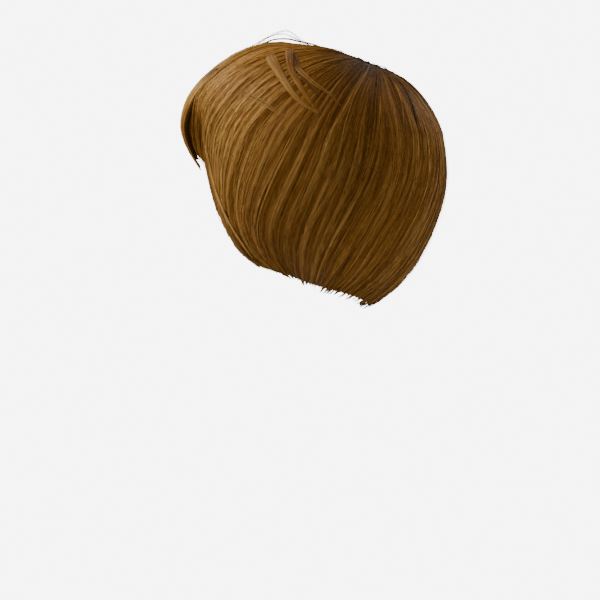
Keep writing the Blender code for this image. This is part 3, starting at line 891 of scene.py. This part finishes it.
def closed_grid(name, finish, top, under, share, line, tone):
    """A solid between two grids of points, with its own bake map and grain map."""
    rows, columns = top.shape[:2]
    size = rows * columns
    a = grid_faces(rows, columns)
    across_u = np.linspace(0.005, 0.475, columns)
    up_v = np.linspace(0.03, 0.97, rows)
    v_grid, u_grid = np.meshgrid(up_v, across_u, indexing="ij")
    spot = np.stack([u_grid.ravel(), v_grid.ravel()], 1)
    faces = [a[:, ::-1], a + size]
    maps = [spot[a[:, ::-1]], spot[a] + [0.52, 0.0]]
    j = np.arange(columns - 1)
    i = np.arange(rows - 1)
    for row, flip, low in ((0, False, 0.003), (rows - 1, True, 0.977)):
        p = row * columns + j
        ends = np.stack([across_u[j], across_u[j + 1]], 1)
        add_wall(faces, maps, p, p + 1, size, flip, ends, low, low + 0.02, False)
    for column, flip, low in ((0, True, 0.480), (columns - 1, False, 0.500)):
        p = i * columns + column
        ends = np.stack([up_v[i], up_v[i + 1]], 1)
        add_wall(faces, maps, p, p + columns, size, flip, ends, low, low + 0.015, True)
    faces, maps = np.concatenate(faces), np.concatenate(maps)
    points = np.concatenate([top.reshape(-1, 3), under.reshape(-1, 3)])
    mesh = mesh_from(name, points, faces)
    bake_map = mesh.uv_layers.new(name="OFBake")
    bake_map.data.foreach_set("uv", maps.astype(np.float32).ravel())
    grain = np.stack([line.ravel() * 90.0, share.ravel() * 5.0], 1)
    grain = np.concatenate([grain, grain + 400.0])[faces.ravel()]
    grain_map = mesh.uv_layers.new(name="grain")
    grain_map.data.foreach_set("uv", grain.astype(np.float32).ravel())
    mesh.materials.append(finish)
    streak = streaks(line, share)
    # The underside gets a lower tone: painted shade under the hair
    store_point(mesh, "tone", np.concatenate([(tone + streak).ravel(), np.full(size, UNDERSIDE_PAINTED_SHADE)]))
    store_point(mesh, "along", np.tile(share.ravel(), 2))
    store_point(mesh, "shade", tone_and_painted_light_shade_at(points))
    mesh.shade_smooth()
    return show(name, mesh)


def add_wall(faces, maps, p, q, size, flip, ends, low, high, upright):
    """One edge wall of a closed grid and its strip of the map."""
    wall = np.stack([p, q, q + size, p + size], 1)
    side = np.array([low, low, high, high])
    reach = ends[:, [0, 1, 1, 0]]
    side = np.broadcast_to(side, reach.shape)
    at = np.stack([side, reach] if upright else [reach, side], -1)
    faces.append(wall[:, ::-1] if flip else wall)
    maps.append(at[:, ::-1] if flip else at)


# Tables of locks


def lock(centre, half, start, end, height, crown, tone, strands, size=1.0, point=3.0, **bends):
    """One row of the lock table, with lengths in millimetres turned to metres."""
    sway, waves, phase = bends.get("sway", 0.0), bends.get("waves", 5.0), bends.get("phase", 0.0)
    return (
        centre, half, start, end, height * MM, crown * MM, tone, sway, waves, phase, point, strands, size,
        bends.get("slant", 0.0),
    )


def mass_locks(first, last, count, chance):
    """The locks of one mass, layer by layer."""
    locks = []
    per_line = 1 / (FLOW_LINES + 4)
    for row in LAYER_ROWS:
        layer = dict(zip(LAYER_COLUMNS, row))
        many = int(count * layer["many"] + 0.5)
        pitch = (last - first) / many
        for k in range(many):
            line = first + (k + 0.5 + chance.uniform(-0.45, 0.45)) * pitch
            wide = chance.uniform(0.6, 1.5)
            locks.append(
                lock(
                    line_u(line), 0.5 * pitch * layer["room"] * wide * per_line,
                    chance.uniform(*layer["start"]), chance.uniform(*layer["end"]),
                    layer["height"] + chance.uniform(-0.4, 0.4), layer["crown"] * chance.uniform(0.5, 1.3),
                    0.5 + layer["tone"] + chance.uniform(-1, 1) * layer["spread"],
                    max(1, round(layer["strands"] * wide)), size=layer["size"],
                    point=layer["point"] * chance.uniform(0.7, 1.4),
                    sway=chance.uniform(-0.25, 0.25) * pitch * per_line, waves=chance.uniform(2, 6),
                    phase=chance.uniform(0, 6.28),
                    slant=chance.uniform(-1, 1) * layer["slant"] * pitch * per_line,
                )
            )
    return locks


# Pieces


def put(item, node):
    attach(item, "root")
    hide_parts(node)


def long_hair(tree, under):
    sheet = main_sheet()
    chance = np.random.default_rng(PIECE_SEED)
    for k, (node, first, last, count) in enumerate(MASS_ROWS):
        put(base_hair(node + "_base", under, first, last, chance), node)
        locks = mass_locks(first, last, count, chance)
        strands = lay_strands(
            node + "_strands", tree, sheet, locks, 100 + k, tuck=END_TUCK, root_rise=ROOT_RISE
        )
        put(strands, node)
    bpy.data.objects.remove(sheet)


def outer_lock(tree, under):
    """The outer lock of the fringe, beside the hollow at the temple."""
    along, across = np.meshgrid(np.linspace(0, 1.05, 24), np.linspace(0, 1, 9), indexing="ij")
    sheet = sheet_object("outer_lock_flow", [(outer_lock_places(along, across, 0.0, 0.0), across, along)])
    locks = [
        lock(0.5, 0.42, 0.0, 0.98, -1.2, 2.2, 0.56, 120, point=3.0),
        lock(0.28, 0.24, 0.02, 0.90, 0.2, 1.6, 0.66, 90, point=2.4),
        lock(0.70, 0.24, 0.04, 1.00, 0.0, 1.6, 0.50, 90, point=2.4),
    ]
    strands = lay_strands("fringe_outer_lock_strands", tree, sheet, locks, 160, stray=0.012)
    put(strands, "fringe_outer_lock")
    bpy.data.objects.remove(sheet)
    along, across = np.meshgrid(np.linspace(0.02, 0.93, 22), np.linspace(0.10, 0.90, 12), indexing="ij")
    top, low = (
        outer_lock_places(along, across, sink, taper)
        for sink, taper in zip(OUTER_LOCK_BASE_SINKS, OUTER_LOCK_BASE_TAPERS)
    )
    # The base's low tone is painted shade under the lock
    tone = np.full(along.shape, OUTER_LOCK_BASE_PAINTED_SHADE_TONE)
    body = closed_grid("fringe_outer_lock_base", under, top, low, along, across, tone)
    put(body, "fringe_outer_lock")


def nape(tree, under):
    """The under layer that ends in a point on the neck."""
    chance = np.random.default_rng(PIECE_SEED + 1)
    along, across = np.meshgrid(np.linspace(0, 1.06, 24), np.linspace(-0.04, 1.04, 60), indexing="ij")
    sheet = sheet_object("nape_flow", [(nape_places(along, across, 0.0), across, along)])
    locks = [
        lock(
            (k + 0.5 + chance.uniform(-0.3, 0.3)) / NAPE_LOCKS, 0.03, chance.uniform(0, 0.15),
            chance.uniform(0.95, 1.01), chance.uniform(-1.6, -0.2), 1.2, 0.34 + chance.uniform(-0.12, 0.12),
            26, point=chance.uniform(5, 9),
        )
        for k in range(NAPE_LOCKS)
    ]
    put(lay_strands("nape_hair_strands", tree, sheet, locks, 170, stray=0.004), "nape_hair")
    bpy.data.objects.remove(sheet)
    along, across = np.meshgrid(np.linspace(0.0, 0.985, 20), np.linspace(0.01, 0.99, 50), indexing="ij")
    top, low = (nape_places(along, across, sink) for sink in NAPE_BASE_SINKS)
    # The base's low tone is painted shade under the hair above
    tone = np.full(along.shape, NAPE_BASE_PAINTED_SHADE_TONE)
    body = closed_grid("nape_hair_base", under, top, low, along, across * 2, tone)
    put(body, "nape_hair")


def accents(tree):
    """Locks that cross the flow or stand off it, one piece for each node they belong to."""
    rows = [dict(zip(ACCENT_COLUMNS, row)) for row in ACCENT_ROWS]
    nodes = list(dict.fromkeys(row["node"] for row in rows))
    for number, node in enumerate(nodes):
        own = [row for row in rows if row["node"] == node]
        patches = [accent_patch(row["path"], row["half_width"], k, len(own)) for k, row in enumerate(own)]
        sheet = sheet_object(node + "_accent_flow", patches)
        locks = [
            lock(
                (k + 0.5) / len(own), 0.44 / len(own), 0.02, 0.985, 0.0, row["crown"], row["tone"],
                row["strands"], size=row["size"], point=row["point"],
            )
            for k, row in enumerate(own)
        ]
        strands = lay_strands(node + "_accents", tree, sheet, locks, 200 + number, stray=0.05 / len(own))
        # These locks come up from under the others, so no dark root shows
        along = strands.data.attributes["along"]
        along.data.foreach_set("value", np.full(len(along.data), ACCENT_ALONG, np.float32))
        put(strands, node)
        bpy.data.objects.remove(sheet)


def hair():
    fibre = fibre_material("modacrylic_fibre_golden_brown", "#21130a", "#8b5b22", "#d9ac62", 0.42)
    # The under layer is the same fibre with a darker ramp: painted shade for the hair below the locks
    under = fibre_material("modacrylic_fibre_under_layer_painted_shade", "#190f08", "#684319", "#b58844", 0.50)
    tree = strand_tree(fibre)
    long_hair(tree, under)
    outer_lock(tree, under)
    nape(tree, under)
    accents(tree)


def carried_over_nodes():
    """The cap and the knot of roots keep their shape and get their finish."""
    for node, finish in (("cap", net_material()), ("crown_whorl", root_material())):
        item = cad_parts[node]
        item.data.materials.clear()
        item.data.materials.append(finish)


def studio():
    bpy.ops.mesh.primitive_plane_add(size=FLOOR_SIZE, location=(0, 0, cad_box[0][2] - FLOOR_DROP))
    floor = bpy.context.object
    floor.name = "studio_floor"
    pale = bpy.data.materials.new("matte_white_paper")
    pale.use_nodes = True
    pale.node_tree.nodes["Principled BSDF"].inputs["Base Color"].default_value = srgb("#f7f7f5")
    pale.node_tree.nodes["Principled BSDF"].inputs["Roughness"].default_value = 0.9
    floor.data.materials.append(pale)
    white_room()
    towards, left = view_ways()
    up = np.array([0.0, 0.0, 1.0])
    middle = np.array([0.0, 0.0, -0.10])
    lamps = (
        ("key", towards * 0.25 + left * 1.0 + up * 0.9, 1.8, 34.0, 1.0),
        ("rim", towards * -0.35 - left * 1.0 + up * 0.75, 1.6, 6.0, 0.8),
        ("fill", towards * 1.0 - left * 0.35 + up * 0.15, 2.2, 4.0, 1.4),
    )
    for name, way, distance, power, size in lamps:
        light = bpy.data.lights.new(name, "AREA")
        light.energy = power
        light.size = size
        item = show(name, light)
        spot = middle + way / np.linalg.norm(way) * distance
        item.location = spot
        item.rotation_euler = look_at(spot, middle)


def white_room():
    """A white surround: dim as a light, bright as a backdrop, like a studio's lit paper."""
    world = bpy.data.worlds.new("studio")
    bpy.context.scene.world = world
    world.use_nodes = True
    tree = world.node_tree
    ray = add_node(tree, "ShaderNodeLightPath")
    strength = add_node(
        tree, "ShaderNodeMapRange", [(ray.outputs["Is Camera Ray"], "Value")],
        values={"To Min": 0.45, "To Max": 7.0},
    )
    tree.nodes["Background"].inputs["Color"].default_value = (1.0, 1.0, 1.0, 1.0)
    tree.links.new(strength.outputs["Result"], tree.nodes["Background"].inputs["Strength"])


def view_ways():
    """The way towards the camera, and the picture's left."""
    turn = math.radians(VIEW_TURN)
    towards = np.array([math.cos(turn), math.sin(turn), 0.0])
    return towards, np.array([math.sin(turn), -math.cos(turn), 0.0])


def look_at(eye, target):
    return (Vector(target) - Vector(eye)).to_track_quat("-Z", "Y").to_euler()


def camera():
    towards, left = view_ways()
    across, height = VIEW_CENTRE
    target = left * across + np.array([0.0, 0.0, height])
    eye = target + towards * VIEW_DISTANCE
    data = bpy.data.cameras.new("camera")
    data.sensor_width = SENSOR
    data.lens = SENSOR * VIEW_DISTANCE / PICTURE_WIDTH
    item = show("camera", data)
    item.location = eye
    item.rotation_euler = look_at(eye, target)
    bpy.context.scene.camera = item


camera()
hair()
carried_over_nodes()
studio()
